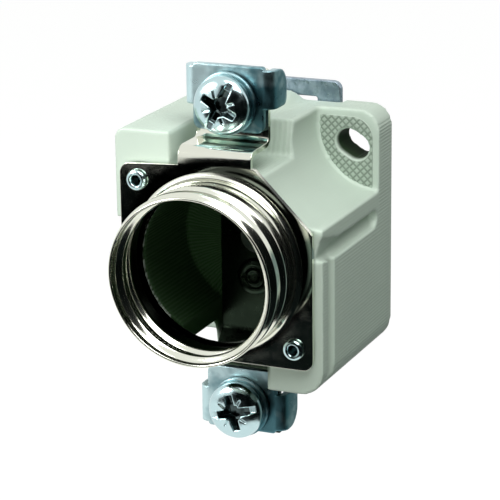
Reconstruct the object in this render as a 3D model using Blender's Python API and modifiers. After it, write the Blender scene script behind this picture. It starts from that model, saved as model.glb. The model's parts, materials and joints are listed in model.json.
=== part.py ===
# Single-pole fuse base with an E27 threaded shell, screw terminals and a rail latch.
# X runs across the base, Y from the shell's mouth to the rear face, Z up from terminal to terminal.
# Sizes along Y are counted from the ceramic body's front face, and an empty at the body's
# depth carries every piece, so the origin is on the shell's axis in the rear mounting plane.
from math import atan2, cos, degrees, pi, radians, sin, tan

import bmesh
import bpy
from mathutils import Matrix, Vector

MM = 0.001
GAP = 0.3
OVER = 1.0

# Ceramic body
BODY_HALF_WIDTH = 17.7
BODY_HALF_HEIGHT = 20.4
BODY_DEPTH = 31.0
BODY_CORNER = 4.0
BODY_TOP_LEFT_CORNER = 1.7
BACK_PLATE_THICKNESS = 6.2
BACK_PLATE_CORNER = 3.5
CAVITY_RADIUS = 12.8
CAVITY_DEPTH = 15.9
CORNER_CUT_RADIUS = 10.8
CORNER_CUT_INSET = 2.6
CHANNEL_SIDE = 8.1
CHANNEL_FLOOR = 14.5
RAMP_BASE_DEPTH = 13.4
RAMP_LEAN = 1.2
STRIP_SLOT_END = 18.4
CREST_HEIGHT = 1.3
CREST_FOOT = 3.8
CREST_SHIFT = -0.4
CREST_START = 15.5
SIDE_SLOT_BOTTOM = 1.3
SIDE_SLOT_HEIGHT = 2.9
SIDE_SLOT_LENGTH = 24.0
SIDE_SLOT_DEPTH = 2.4
SLOT_MOUTH_LENGTH = 6.5
SLOT_MOUTH_RISE = 1.8
SLOT_MOUTH_DROP = -0.7
SIDE_GROOVE_START = 2.5
SIDE_GROOVE_WIDTH = 2.5
SIDE_GROOVE_DEPTH = 0.9
MOUNT_HOLE_LENGTH = 5.9
MOUNT_HOLE_WIDTH = 4.2
MOUNT_HOLE_TO_SIDE = 4.6
MOUNT_HOLE_TO_TOP = 5.9
MOUNT_HOLE_X = BODY_HALF_WIDTH - MOUNT_HOLE_TO_SIDE
MOUNT_HOLE_Z = BODY_HALF_HEIGHT - MOUNT_HOLE_TO_TOP
MOUNT_HOLE_ANGLE = 30.0
RIVET_RECESS_RADIUS = 3.0
RIVET_RECESS_SHIFT_X = -1.0
RIVET_RECESS_SHIFT_Z = 0.8
RIVET_RECESS_DEPTH = 0.8
RIVET_WEB = 8.2
REAR_BORE_RADIUS = 3.2

# Threaded shell with its flange and top terminal
SHEET = 0.8
FLANGE_HALF_WIDTH = 16.4
FLANGE_HALF_HEIGHT = 15.9
FLANGE_CORNER = 1.7
FLANGE_BEVEL = 9.6
FLANGE_TOP_SLOPE = 0.9
SHELL_LENGTH = 10.1
SHELL_CREST_RADIUS = 13.9
SHELL_WALL = 0.5
THREAD_DEPTH = 0.95
THREAD_PITCH = 3.63
SHELL_ROOT_FILLET = 0.9
TAB_HALF_WIDTH = 6.2
SHELF_TOP = 18.6
TOP_PLATE_FRONT = 6.1
TOP_PLATE_END = 30.2
BEND_RADIUS = 1.0

# Contact strip and bottom terminal
STRIP_SHEET = 0.9
STRIP_HALF_WIDTH = 6.1
STRIP_TOP = 6.5
STRIP_BEND_START = -16.2
BOTTOM_PLATE_FRONT = 9.8
BOTTOM_PLATE_END = -31.5
GAUGE_HOLE_RADIUS = 2.6
GAUGE_COLLAR_WALL = 0.9
GAUGE_COLLAR_LENGTH = 3.6

# Rivets
RIVET_TO_SIDE = 3.1
RIVET_TO_TOP = 3.4
RIVET_X = FLANGE_HALF_WIDTH - RIVET_TO_SIDE
RIVET_Z = FLANGE_HALF_HEIGHT - RIVET_TO_TOP
RIVET_BORE = 0.75
RIVET_SHANK = 1.3
RIVET_HEAD = 1.65
RIVET_HEAD_HEIGHT = 0.6
RIVET_WASHER_RADIUS = 2.7
RIVET_WASHER_THICKNESS = 0.8
CONTACT_RIVET_Z = -6.6
CONTACT_RIVET_HEAD = 2.95
CONTACT_RIVET_HEAD_HEIGHT = 0.7
CONTACT_FLOOR_WEB = 5.0

# Terminal screws, washers and saddle clamps
TOP_SCREW_Z = 24.8
BOTTOM_SCREW_Z = -27.0
SCREW_RADIUS = 2.5
SCREW_LENGTH = 12.0
SCREW_HEAD_RADIUS = 4.7
SCREW_HEAD_HEIGHT = 2.9
DRIVE_SLOT_WIDTH = 1.0
DRIVE_SLOT_DEPTH = 1.1
WASHER_RADIUS = 5.0
WASHER_THICKNESS = 0.6
CLAMP_SHEET = 1.2
CLAMP_HALF_WIDTH = 7.7
CLAMP_TONGUE_HALF_WIDTH = 6.0
CLAMP_WING_DEPTH = 5.4
CLAMP_INNER_END = -5.5
CLAMP_OUTER_END = 5.0
CLAMP_WING_BOTTOM = -1.6
CLAMP_WING_TOP = 4.5
CLAMP_WING_CORNER = 3.0
CLAMP_SLOT_TRAVEL = 1.0
CLAMP_SHIFT = 0.9
THREAD_COLLAR_RADIUS = 3.7
THREAD_COLLAR_LENGTH = 1.5

# Rail plate, latch and spring at the rear
RAIL_HEIGHT = 35.0
RAIL_SLOT = 1.4
RAIL_SHEET = 1.2
REAR_RECESS_HALF_WIDTH = 9.5
REAR_RECESS_DEPTH = 2.1
LATCH_HALF_WIDTH = 9.2
LATCH_RISE = 6.1
LATCH_TOP = RAIL_HEIGHT / 2 + LATCH_RISE
LATCH_BAND = 2.7
LATCH_CORNER = 1.4
LATCH_LEG = 4.0
LATCH_BOTTOM = -2.6
LATCH_TRAVEL = 3.2
HOOK_OVERLAP = 1.2
HOOK_HALF_WIDTH = 4.6
RAIL_PLATE_TOP = -4.0
REAR_RIVET_X = 6.2
GUIDE_RIVET_Z = 9.0
PLATE_RIVET_Z = -12.0
REAR_RIVET_SHANK = 1.3
REAR_RIVET_HEAD = 2.4
REAR_RIVET_HEAD_HEIGHT = 0.8
REAR_RIVET_LENGTH = 5.0
SPRING_RADIUS = 1.8
SPRING_WIRE = 0.3
SPRING_TURNS = 5
SPRING_LENGTH = 12.7
SPRING_BOTTOM = -0.7

FLANGE_BACK = -GAP
FLANGE_FRONT = FLANGE_BACK - SHEET
RIM = FLANGE_FRONT - SHELL_LENGTH
STRIP_BACK = CAVITY_DEPTH - GAP
STRIP_FRONT = STRIP_BACK - STRIP_SHEET
BACK_PLATE_FRONT = BODY_DEPTH - BACK_PLATE_THICKNESS
RECESS_FLOOR = BODY_DEPTH - REAR_RECESS_DEPTH
LATCH_FRONT = RECESS_FLOOR + GAP
LATCH_BACK = LATCH_FRONT + RAIL_SHEET
HOOK_INNER = BODY_DEPTH + RAIL_SLOT


def collection(name):
    made = bpy.data.collections.new(name)
    bpy.context.scene.collection.children.link(made)
    return made


def material(name, colour, metallic, roughness):
    made = bpy.data.materials.new(name)
    made.use_nodes = True
    shader = made.node_tree.nodes["Principled BSDF"]
    shader.inputs["Base Color"].default_value = (*colour, 1.0)
    shader.inputs["Metallic"].default_value = metallic
    shader.inputs["Roughness"].default_value = roughness
    made.diffuse_color = (*colour, 1.0)
    return made


def mesh_object(name, mesh, group):
    made = bpy.data.objects.new(name, mesh)
    made.parent = BASE
    group.objects.link(made)
    if group is CUTTERS:
        made.hide_render = True
        made.display_type = "WIRE"
    return made


def arc(centre_u, centre_v, radius, start, end, steps):
    """Points on an arc in a flat outline, angles in degrees."""
    points = []
    for step in range(steps + 1):
        angle = radians(start + (end - start) * step / steps)
        points.append((centre_u + radius * cos(angle), centre_v + radius * sin(angle)))
    return points


def circle(centre_u, centre_v, radius, sides):
    return arc(centre_u, centre_v, radius, 0, 360 - 360 / sides, sides - 1)


def rounded_outline(corners, radii, steps=6):
    """An anticlockwise outline with each corner rounded by its own radius."""
    points = []
    count = len(corners)
    for index in range(count):
        radius = radii[index]
        here = Vector(corners[index])
        back = (Vector(corners[index - 1]) - here).normalized()
        ahead = (Vector(corners[(index + 1) % count]) - here).normalized()
        if radius == 0.0:
            points.append(tuple(here))
            continue
        half = back.angle(ahead) / 2
        centre = here + (back + ahead).normalized() * radius / sin(half)
        first = here + back * radius / tan(half) - centre
        last = here + ahead * radius / tan(half) - centre
        start = atan2(first.y, first.x)
        turn = (atan2(last.y, last.x) - start + pi) % (2 * pi) - pi
        points += arc(centre.x, centre.y, radius, degrees(start), degrees(start + turn), steps)
    return points


def obround(centre_u, centre_v, length, width, angle, steps=10):
    """A slot with round ends, its long axis turned by an angle in degrees."""
    reach = (length - width) / 2
    shift_u, shift_v = reach * cos(radians(angle)), reach * sin(radians(angle))
    first = arc(centre_u + shift_u, centre_v + shift_v, width / 2, angle - 90, angle + 90, steps)
    last = arc(centre_u - shift_u, centre_v - shift_v, width / 2, angle + 90, angle + 270, steps)
    return first + last


def bent_strip(path, thickness, bend):
    """The outline of a sheet folded along a path of its middle plane, every fold rounded."""
    middle = [Vector(path[0])]
    for before, here, after in zip(path, path[1:], path[2:]):
        here = Vector(here)
        back = (Vector(before) - here).normalized()
        ahead = (Vector(after) - here).normalized()
        half = back.angle(ahead) / 2
        radius = bend + thickness / 2
        centre = here + (back + ahead).normalized() * radius / sin(half)
        first = here + back * radius / tan(half) - centre
        last = here + ahead * radius / tan(half) - centre
        start = atan2(first.y, first.x)
        turn = (atan2(last.y, last.x) - start + pi) % (2 * pi) - pi
        bow = arc(centre.x, centre.y, radius, degrees(start), degrees(start + turn), 6)
        middle += [Vector(point) for point in bow]
    middle.append(Vector(path[-1]))
    left, right = [], []
    for index, point in enumerate(middle):
        before = middle[max(index - 1, 0)]
        after = middle[min(index + 1, len(middle) - 1)]
        along = (after - before).normalized()
        side = Vector((-along.y, along.x)) * thickness / 2
        left.append(tuple(point + side))
        right.append(tuple(point - side))
    return left + right[::-1]


TURN_TO = {
    "X": Matrix(((0, 0, 1, 0), (1, 0, 0, 0), (0, 1, 0, 0), (0, 0, 0, 1))),
    "Y": Matrix(((1, 0, 0, 0), (0, 0, -1, 0), (0, 1, 0, 0), (0, 0, 0, 1))),
    "Z": Matrix.Identity(4),
}


def evaluated_mesh(guide):
    """The mesh that a guide gives with its modifiers; the guide itself is removed."""
    bpy.context.scene.collection.objects.link(guide)
    bpy.context.view_layer.update()
    made = bpy.data.meshes.new_from_object(guide.evaluated_get(bpy.context.evaluated_depsgraph_get()))
    bpy.data.objects.remove(guide)
    return made


def prism(name, outline, axis, start, end, group, holes=()):
    """A flat outline extruded along an axis. Outlines are (y, z), (x, z) or (x, y)."""
    curve = bpy.data.curves.new(name + "_outline", "CURVE")
    curve.dimensions = "2D"
    curve.fill_mode = "BOTH"
    curve.extrude = abs(end - start) / 2 * MM
    for loop in (outline, *holes):
        spline = curve.splines.new("POLY")
        spline.points.add(len(loop) - 1)
        for point, (u, v) in zip(spline.points, loop):
            point.co = (u * MM, v * MM, 0.0, 1.0)
        spline.use_cyclic_u = True
    guide = bpy.data.objects.new(name + "_guide", curve)
    solid = evaluated_mesh(guide)
    bpy.data.curves.remove(curve)
    shift = Matrix.Translation(Vector([(start + end) / 2 * MM if axis == letter else 0.0 for letter in "XYZ"]))
    solid.transform(shift @ TURN_TO[axis])
    shape = bmesh.new()
    shape.from_mesh(solid)
    bmesh.ops.remove_doubles(shape, verts=shape.verts, dist=1e-6)
    bmesh.ops.recalc_face_normals(shape, faces=shape.faces)
    shape.to_mesh(solid)
    shape.free()
    return mesh_object(name, solid, group)


def box(name, low, high, group):
    shape = bmesh.new()
    bmesh.ops.create_cube(shape, size=1.0)
    size = [(b - a) * MM for a, b in zip(low, high)]
    middle = Vector([(a + b) / 2 * MM for a, b in zip(low, high)])
    bmesh.ops.scale(shape, vec=size, verts=shape.verts)
    bmesh.ops.translate(shape, vec=middle, verts=shape.verts)
    made = bpy.data.meshes.new(name)
    shape.to_mesh(made)
    shape.free()
    return mesh_object(name, made, group)


def cylinder(name, radius, start, end, centre, group, sides=32):
    """A cylinder along Y at a centre (x, z)."""
    shape = bmesh.new()
    bmesh.ops.create_cone(shape, cap_ends=True, segments=sides, radius1=radius * MM,
                          radius2=radius * MM, depth=(end - start) * MM)
    made = bpy.data.meshes.new(name)
    shape.to_mesh(made)
    shape.free()
    place = Vector((centre[0] * MM, (start + end) / 2 * MM, centre[1] * MM))
    made.transform(Matrix.Translation(place) @ Matrix.Rotation(radians(-90), 4, "X"))
    return mesh_object(name, made, group)


def turned(name, profile, centre, group, sides=32, closed=True):
    """A profile of (radius, y) points turned about an axis along Y at a centre (x, z)."""
    twice_area = sum(a[0] * b[1] - b[0] * a[1] for a, b in zip(profile, profile[1:] + profile[:1]))
    points = profile[::-1] if twice_area > 0 else profile
    pairs = [(index, index + 1) for index in range(len(points) - 1)]
    if closed:
        pairs.append((len(points) - 1, 0))
    line = bpy.data.meshes.new(name + "_profile")
    line.from_pydata([(radius * MM, 0.0, y * MM) for radius, y in points], pairs, [])
    guide = bpy.data.objects.new(name + "_guide", line)
    turn = guide.modifiers.new("turn", "SCREW")
    turn.axis = "Z"
    turn.angle = 2 * pi
    turn.steps = sides
    turn.render_steps = sides
    turn.use_merge_vertices = True
    turn.merge_threshold = 0.00001
    made = evaluated_mesh(guide)
    place = Matrix.Translation((centre[0] * MM, 0.0, centre[1] * MM))
    made.transform(place @ Matrix.Rotation(radians(-90), 4, "X"))
    return mesh_object(name, made, group)


def combine(target, tool, operation):
    step = target.modifiers.new(tool.name, "BOOLEAN")
    step.operation = operation
    step.object = tool
    step.solver = "EXACT"


def cut(target, *tools):
    for tool in tools:
        combine(target, tool, "DIFFERENCE")


def join(target, *tools):
    for tool in tools:
        combine(target, tool, "UNION")


def finish(made, look, origin=None):
    """Gives a piece its material and smooth shading, and puts its origin on its joint's axis."""
    made.data.materials.clear()
    made.data.materials.append(look)
    made.data.shade_smooth()
    made.data.set_sharp_from_angle(angle=radians(35))
    if origin is not None:
        point = Vector(origin) * MM
        made.data.transform(Matrix.Translation(-point))
        made.location = point
    return made


def opposite(outline):
    """The same outline turned half a turn about the shell's axis."""
    return [(-u, -v) for u, v in outline]


def make_ceramic_body(look):
    wide, high = BODY_HALF_WIDTH, BODY_HALF_HEIGHT
    corners = [(-wide, -high), (wide, -high), (wide, high), (-wide, high)]
    body_radii = [BODY_CORNER, BODY_CORNER, BODY_CORNER, BODY_TOP_LEFT_CORNER]
    plate_radii = [BACK_PLATE_CORNER, BODY_CORNER, BACK_PLATE_CORNER, BODY_TOP_LEFT_CORNER]
    body = prism("ceramic_body", rounded_outline(corners, body_radii), "Y",
                 0.0, BACK_PLATE_FRONT + GAP, PARTS)
    join(body, prism("back_plate", rounded_outline(corners, plate_radii), "Y",
                     BACK_PLATE_FRONT, BODY_DEPTH, CUTTERS))
    cut_x, cut_z = wide, high - CORNER_CUT_INSET
    for side, sign in (("right", 1), ("left", -1)):
        centre = (sign * cut_x, sign * cut_z)
        cut(body, cylinder("corner_cut_" + side, CORNER_CUT_RADIUS, -OVER, BACK_PLATE_FRONT,
                           centre, CUTTERS, sides=64))
    cut(body, cylinder("cavity", CAVITY_RADIUS, -OVER, CAVITY_DEPTH, (0, 0), CUTTERS, sides=64))
    ramp = [(-OVER, CHANNEL_FLOOR), (RAMP_BASE_DEPTH, CHANNEL_FLOOR),
            (RAMP_BASE_DEPTH + RAMP_LEAN, high + OVER), (-OVER, high + OVER)]
    open_side = cut_x - CORNER_CUT_RADIUS / 2
    slot = STRIP_HALF_WIDTH + GAP
    cut(body,
        prism("top_channel", ramp, "X", -CHANNEL_SIDE, open_side, CUTTERS),
        prism("bottom_channel", [(y, -z) for y, z in ramp], "X", -open_side, CHANNEL_SIDE, CUTTERS),
        box("strip_slot", (-slot, -OVER, -STRIP_SLOT_END), (slot, CAVITY_DEPTH, 0.0), CUTTERS))
    join(body, make_crest("top_crest", 1), make_crest("bottom_crest", -1))
    cut_side_slots(body)
    cut_mounting_holes(body)
    cut_rivet_holes(body)
    cut_rear(body)
    return finish(body, look)


def make_crest(name, sign):
    """A low rise on the end face behind a terminal, growing towards the rear."""
    high = BODY_HALF_HEIGHT
    root = high - OVER
    shoulder = CREST_FOOT / 2
    top = high + CREST_HEIGHT
    profile = [(-CREST_FOOT, root), (CREST_FOOT, root), (CREST_FOOT, high - GAP),
               (shoulder, top - GAP), (shoulder / 2, top), (-shoulder / 2, top), (-shoulder, top - GAP),
               (-CREST_FOOT, high - GAP)]
    shifted = [(sign * (x + CREST_SHIFT), sign * z) for x, z in profile]
    crest = prism(name, shifted, "Y", CREST_START, RECESS_FLOOR + OVER, CUTTERS)
    rise = [(CREST_START, root - OVER), (BODY_DEPTH + OVER, root - OVER), (BODY_DEPTH + OVER, top),
            (RECESS_FLOOR - OVER, top), (CREST_START, high - GAP)]
    reach = CREST_FOOT + OVER
    wedge = prism(name + "_wedge", [(y, sign * z) for y, z in rise], "X", -reach, reach, CUTTERS)
    combine(crest, wedge, "INTERSECT")
    return crest


def cut_side_slots(body):
    low, high = SIDE_SLOT_BOTTOM, SIDE_SLOT_BOTTOM + SIDE_SLOT_HEIGHT
    half = SIDE_SLOT_HEIGHT / 2
    outer, inner = BODY_HALF_WIDTH + OVER, BODY_HALF_WIDTH - SIDE_SLOT_DEPTH
    end = arc(SIDE_SLOT_LENGTH - half, low + half, half, -90, 90, 10)
    outline = [(-OVER, low - SLOT_MOUTH_DROP), (SLOT_MOUTH_LENGTH, low), *end,
               (SLOT_MOUTH_LENGTH, high), (-OVER, high + SLOT_MOUTH_RISE)]
    groove_end = SIDE_GROOVE_START + SIDE_GROOVE_WIDTH
    for side, sign in (("right", 1), ("left", -1)):
        reach = sorted((sign * inner, sign * outer))
        cut(body, prism("side_slot_" + side, outline, "X", reach[0], reach[1], CUTTERS))
        shallow = sorted((sign * (BODY_HALF_WIDTH - SIDE_GROOVE_DEPTH), sign * outer))
        cut(body, box("side_groove_" + side, (shallow[0], SIDE_GROOVE_START, -BODY_HALF_HEIGHT - OVER),
                      (shallow[1], groove_end, low + half), CUTTERS))


def cut_mounting_holes(body):
    hole = obround(MOUNT_HOLE_X, MOUNT_HOLE_Z, MOUNT_HOLE_LENGTH, MOUNT_HOLE_WIDTH, -MOUNT_HOLE_ANGLE)
    for side, outline in (("upper", hole), ("lower", opposite(hole))):
        cut(body, prism("mount_hole_" + side, outline, "Y", BACK_PLATE_FRONT - OVER,
                        BODY_DEPTH + OVER, CUTTERS))


def cut_rivet_holes(body):
    web_end = RIVET_RECESS_DEPTH + RIVET_WEB
    for side, sign in (("upper", 1), ("lower", -1)):
        centre = (-sign * RIVET_X, sign * RIVET_Z)
        recess = (-sign * (RIVET_X + RIVET_RECESS_SHIFT_X), sign * (RIVET_Z + RIVET_RECESS_SHIFT_Z))
        cut(body,
            cylinder("rivet_recess_" + side, RIVET_RECESS_RADIUS, -OVER, RIVET_RECESS_DEPTH, recess, CUTTERS),
            cylinder("rivet_hole_" + side, RIVET_SHANK + GAP, 0.0, web_end + OVER, centre, CUTTERS),
            cylinder("rivet_rear_bore_" + side, REAR_BORE_RADIUS, web_end, BODY_DEPTH + OVER, centre, CUTTERS))
    contact = (0.0, CONTACT_RIVET_Z)
    floor_end = CAVITY_DEPTH + CONTACT_FLOOR_WEB
    cut(body,
        cylinder("contact_rivet_hole", RIVET_SHANK + GAP, CAVITY_DEPTH - OVER, floor_end + OVER, contact, CUTTERS),
        cylinder("contact_rear_bore", REAR_BORE_RADIUS, floor_end, BODY_DEPTH + OVER, contact, CUTTERS),
        cylinder("collar_pocket", GAUGE_HOLE_RADIUS + GAUGE_COLLAR_WALL + GAP, CAVITY_DEPTH - OVER,
                 STRIP_BACK + GAUGE_COLLAR_LENGTH + GAP, (0.0, 0.0), CUTTERS))


def cut_rear(body):
    high = BODY_HALF_HEIGHT + CREST_HEIGHT + OVER
    cut(body, box("rear_recess", (-REAR_RECESS_HALF_WIDTH, RECESS_FLOOR, -high),
                  (REAR_RECESS_HALF_WIDTH, BODY_DEPTH + OVER, high), CUTTERS))
    pocket = SPRING_RADIUS + SPRING_WIRE + GAP
    spring_top = SPRING_BOTTOM + SPRING_LENGTH
    cut(body, box("spring_pocket", (-pocket, SPRING_CENTRE - pocket, SPRING_BOTTOM - GAP),
                  (pocket, BODY_DEPTH + OVER, spring_top + GAP), CUTTERS))
    for name, x, z in rear_rivet_places():
        cut(body, cylinder("hole_" + name, REAR_RIVET_SHANK + GAP,
                           RECESS_FLOOR - REAR_RIVET_LENGTH - GAP, BODY_DEPTH + OVER, (x, z), CUTTERS))


def rear_rivet_places():
    return [("guide_rivet_left", -REAR_RIVET_X, GUIDE_RIVET_Z),
            ("guide_rivet_right", REAR_RIVET_X, GUIDE_RIVET_Z),
            ("plate_rivet_left", -REAR_RIVET_X, PLATE_RIVET_Z),
            ("plate_rivet_right", REAR_RIVET_X, PLATE_RIVET_Z)]


def make_threaded_shell(look):
    """One drawn sheet: a folded blank trimmed to flange and tab, and the rolled thread rings on it."""
    half = SHEET / 2
    wide, high, tab = FLANGE_HALF_WIDTH, FLANGE_HALF_HEIGHT, TAB_HALF_WIDTH
    path = [(FLANGE_BACK - half, -high - OVER), (FLANGE_BACK - half, SHELF_TOP - half),
            (TOP_PLATE_FRONT + half, SHELF_TOP - half), (TOP_PLATE_FRONT + half, TOP_PLATE_END + OVER)]
    shell = prism("threaded_shell", bent_strip(path, SHEET, BEND_RADIUS), "X", -wide - OVER, wide + OVER, PARTS)
    outline = rounded_outline(
        [(-wide, -high + FLANGE_BEVEL), (-wide + FLANGE_BEVEL, -high), (wide, -high),
         (wide, high - FLANGE_BEVEL), (wide - FLANGE_BEVEL, high), (tab, high),
         (tab, TOP_PLATE_END), (-tab, TOP_PLATE_END), (-tab, high - FLANGE_TOP_SLOPE / 3),
         (-wide, high - FLANGE_TOP_SLOPE)],
        [0.0, 0.0, FLANGE_CORNER, 0.0, 0.0, 0.0, 0.5, 0.5, 0.0, FLANGE_CORNER])
    rivets = [circle(-sign * RIVET_X, sign * RIVET_Z, RIVET_SHANK + GAP, 24) for sign in (1, -1)]
    ridge = THREAD_DEPTH / 2
    middle = SHELL_CREST_RADIUS - ridge
    bore = circle(0, 0, middle, 48)
    trim = prism("flange_trim", outline, "Y", RIM, TOP_PLATE_FRONT + SHEET + OVER, CUTTERS, [bore, *rivets])
    combine(shell, trim, "INTERSECT")
    steps = 6
    length = SHELL_LENGTH - SHELL_ROOT_FILLET
    count = int(length / THREAD_PITCH * steps)
    outer = []
    for step in range(count + 1):
        back = length * step / count
        outer.append((middle + ridge * cos(2 * pi * back / THREAD_PITCH), RIM + back))
    inner = [(radius - SHELL_WALL, y) for radius, y in outer]
    outer.append((SHELL_CREST_RADIUS + SHELL_ROOT_FILLET / 2, FLANGE_FRONT + half))
    inner.append((middle - ridge, FLANGE_FRONT + half))
    join(shell, turned("thread_rings", outer + inner[::-1], (0, 0), CUTTERS, sides=48))
    make_threaded_eye(shell, "top", TOP_PLATE_FRONT, SHEET, TOP_SCREW_Z)
    return finish(shell, look)


def make_threaded_eye(piece, side, plate_front, sheet, screw_z):
    """The terminal plate's drawn collar, behind the hole that the screw runs in."""
    middle = plate_front + sheet / 2
    end = plate_front + sheet + THREAD_COLLAR_LENGTH
    join(piece, cylinder(side + "_thread_collar", THREAD_COLLAR_RADIUS, middle, end, (0, screw_z), CUTTERS))
    cut(piece, cylinder(side + "_screw_hole", SCREW_RADIUS + GAP, plate_front - OVER, end + OVER,
                        (0, screw_z), CUTTERS))


def make_contact_strip(look):
    half = STRIP_SHEET / 2
    step_back = STRIP_FRONT - BOTTOM_PLATE_FRONT
    path = [(STRIP_FRONT + half, STRIP_TOP), (STRIP_FRONT + half, STRIP_BEND_START),
            (BOTTOM_PLATE_FRONT + half, STRIP_BEND_START - step_back),
            (BOTTOM_PLATE_FRONT + half, BOTTOM_PLATE_END)]
    strip = prism("contact_strip", bent_strip(path, STRIP_SHEET, BEND_RADIUS), "X",
                  -STRIP_HALF_WIDTH, STRIP_HALF_WIDTH, PARTS)
    collar_end = STRIP_BACK + GAUGE_COLLAR_LENGTH
    join(strip, cylinder("gauge_collar", GAUGE_HOLE_RADIUS + GAUGE_COLLAR_WALL, STRIP_FRONT + half,
                         collar_end, (0, 0), CUTTERS))
    cut(strip,
        cylinder("gauge_hole", GAUGE_HOLE_RADIUS, STRIP_FRONT - OVER, collar_end + OVER, (0, 0), CUTTERS),
        cylinder("contact_strip_rivet_hole", RIVET_SHANK + GAP, STRIP_FRONT - OVER, STRIP_BACK + OVER,
                 (0, CONTACT_RIVET_Z), CUTTERS))
    make_threaded_eye(strip, "bottom", BOTTOM_PLATE_FRONT, STRIP_SHEET, BOTTOM_SCREW_Z)
    return finish(strip, look)


def make_flange_rivet(name, sign, look):
    """A hollow rivet: rolled head in front, tail spread over its washer behind."""
    head_back = FLANGE_FRONT - GAP
    head_front = head_back - RIVET_HEAD_HEIGHT
    tail = RIVET_RECESS_DEPTH + RIVET_WEB + GAP + RIVET_WASHER_THICKNESS + GAP
    edge = RIVET_HEAD_HEIGHT / 3
    profile = [(RIVET_BORE + edge, head_front), (RIVET_HEAD - edge, head_front), (RIVET_HEAD, head_front + edge),
               (RIVET_HEAD, head_back), (RIVET_SHANK, head_back), (RIVET_SHANK, tail),
               (RIVET_HEAD, tail), (RIVET_HEAD, tail + RIVET_HEAD_HEIGHT),
               (RIVET_BORE, tail + RIVET_HEAD_HEIGHT), (RIVET_BORE, head_front + edge)]
    return finish(turned(name, profile, (-sign * RIVET_X, sign * RIVET_Z), PARTS, sides=24), look)


def make_rivet_washer(name, centre, seat, look):
    front = seat + GAP
    back = front + RIVET_WASHER_THICKNESS
    hole = RIVET_SHANK + GAP
    profile = [(hole, front), (RIVET_WASHER_RADIUS, front), (RIVET_WASHER_RADIUS, back), (hole, back)]
    return finish(turned(name, profile, centre, PARTS), look)


def make_contact_rivet(look):
    """A hollow rivet with a broad ringed head on the contact strip."""
    head_back = STRIP_FRONT - GAP
    head_front = head_back - CONTACT_RIVET_HEAD_HEIGHT
    tail = CAVITY_DEPTH + CONTACT_FLOOR_WEB + GAP + RIVET_WASHER_THICKNESS + GAP
    rim = CONTACT_RIVET_HEAD_HEIGHT / 3
    profile = [(RIVET_BORE, head_front + rim), (RIVET_SHANK, head_front), (RIVET_SHANK + rim, head_front + rim),
               (CONTACT_RIVET_HEAD - rim, head_front + rim), (CONTACT_RIVET_HEAD, head_front + 2 * rim),
               (CONTACT_RIVET_HEAD, head_back), (RIVET_SHANK, head_back), (RIVET_SHANK, tail),
               (RIVET_HEAD, tail), (RIVET_HEAD, tail + RIVET_HEAD_HEIGHT), (RIVET_BORE, tail + RIVET_HEAD_HEIGHT)]
    return finish(turned("contact_rivet", profile, (0, CONTACT_RIVET_Z), PARTS), look)


def make_clamp(name, plate_front, screw_z, outward, look):
    """A saddle of folded sheet: a tongue across the screw and two wings folded back over the plate."""
    back = plate_front - GAP
    front = back - CLAMP_SHEET
    middle = screw_z + CLAMP_SHIFT

    def height(local):
        return middle + outward * local

    low, high = sorted((height(CLAMP_INNER_END), height(CLAMP_OUTER_END)))
    wide = CLAMP_TONGUE_HALF_WIDTH
    corners = [(-wide, low), (wide, low), (wide, high), (-wide, high)]
    inner_round, outer_round = 1.2, 0.5
    radii = [inner_round, inner_round, outer_round, outer_round]
    if outward < 0:
        radii.reverse()
    slot = obround(0, middle, 2 * (SCREW_RADIUS + GAP + CLAMP_SLOT_TRAVEL), 2 * (SCREW_RADIUS + GAP), 90)
    clamp = prism(name, rounded_outline(corners, radii), "Y", front, back, PARTS, holes=[slot])
    half = CLAMP_SHEET / 2
    side = CLAMP_HALF_WIDTH - half
    path = [(-side, front + CLAMP_WING_DEPTH), (-side, front + half), (side, front + half),
            (side, front + CLAMP_WING_DEPTH)]
    wing_low, wing_high = sorted((height(CLAMP_WING_BOTTOM), height(CLAMP_WING_TOP)))
    wings = prism(name + "_wings", bent_strip(path, CLAMP_SHEET, 0.4), "Z", wing_low, wing_high, CUTTERS)
    wing_rear = front + CLAMP_WING_DEPTH
    wing_radii = [0.0, inner_round, CLAMP_WING_CORNER, 0.0]
    if outward < 0:
        wing_radii.reverse()
    wing_side = rounded_outline([(front - OVER, wing_low), (wing_rear, wing_low), (wing_rear, wing_high),
                                 (front - OVER, wing_high)], wing_radii)
    reach = CLAMP_HALF_WIDTH + OVER
    combine(wings, prism(name + "_wing_side", wing_side, "X", -reach, reach, CUTTERS), "INTERSECT")
    bore = prism(name + "_slot", slot, "Y", front - OVER, back + OVER, CUTTERS)
    join(clamp, wings)
    cut(clamp, bore)
    return finish(clamp, look, (0, back, screw_z))


def terminal_faces(plate_front):
    """The washer's front and the screw head's seat, in front of a terminal plate."""
    washer_back = plate_front - GAP - CLAMP_SHEET - GAP
    washer_front = washer_back - WASHER_THICKNESS
    return washer_back, washer_front, washer_front - GAP


def make_washer(name, plate_front, screw_z, look):
    back, front, _ = terminal_faces(plate_front)
    hole = SCREW_RADIUS + GAP
    profile = [(hole, front), (WASHER_RADIUS, front), (WASHER_RADIUS, back), (hole, back)]
    washer = turned(name, profile, (0, screw_z), PARTS, sides=32)
    return finish(washer, look, (0, front, screw_z))


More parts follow.
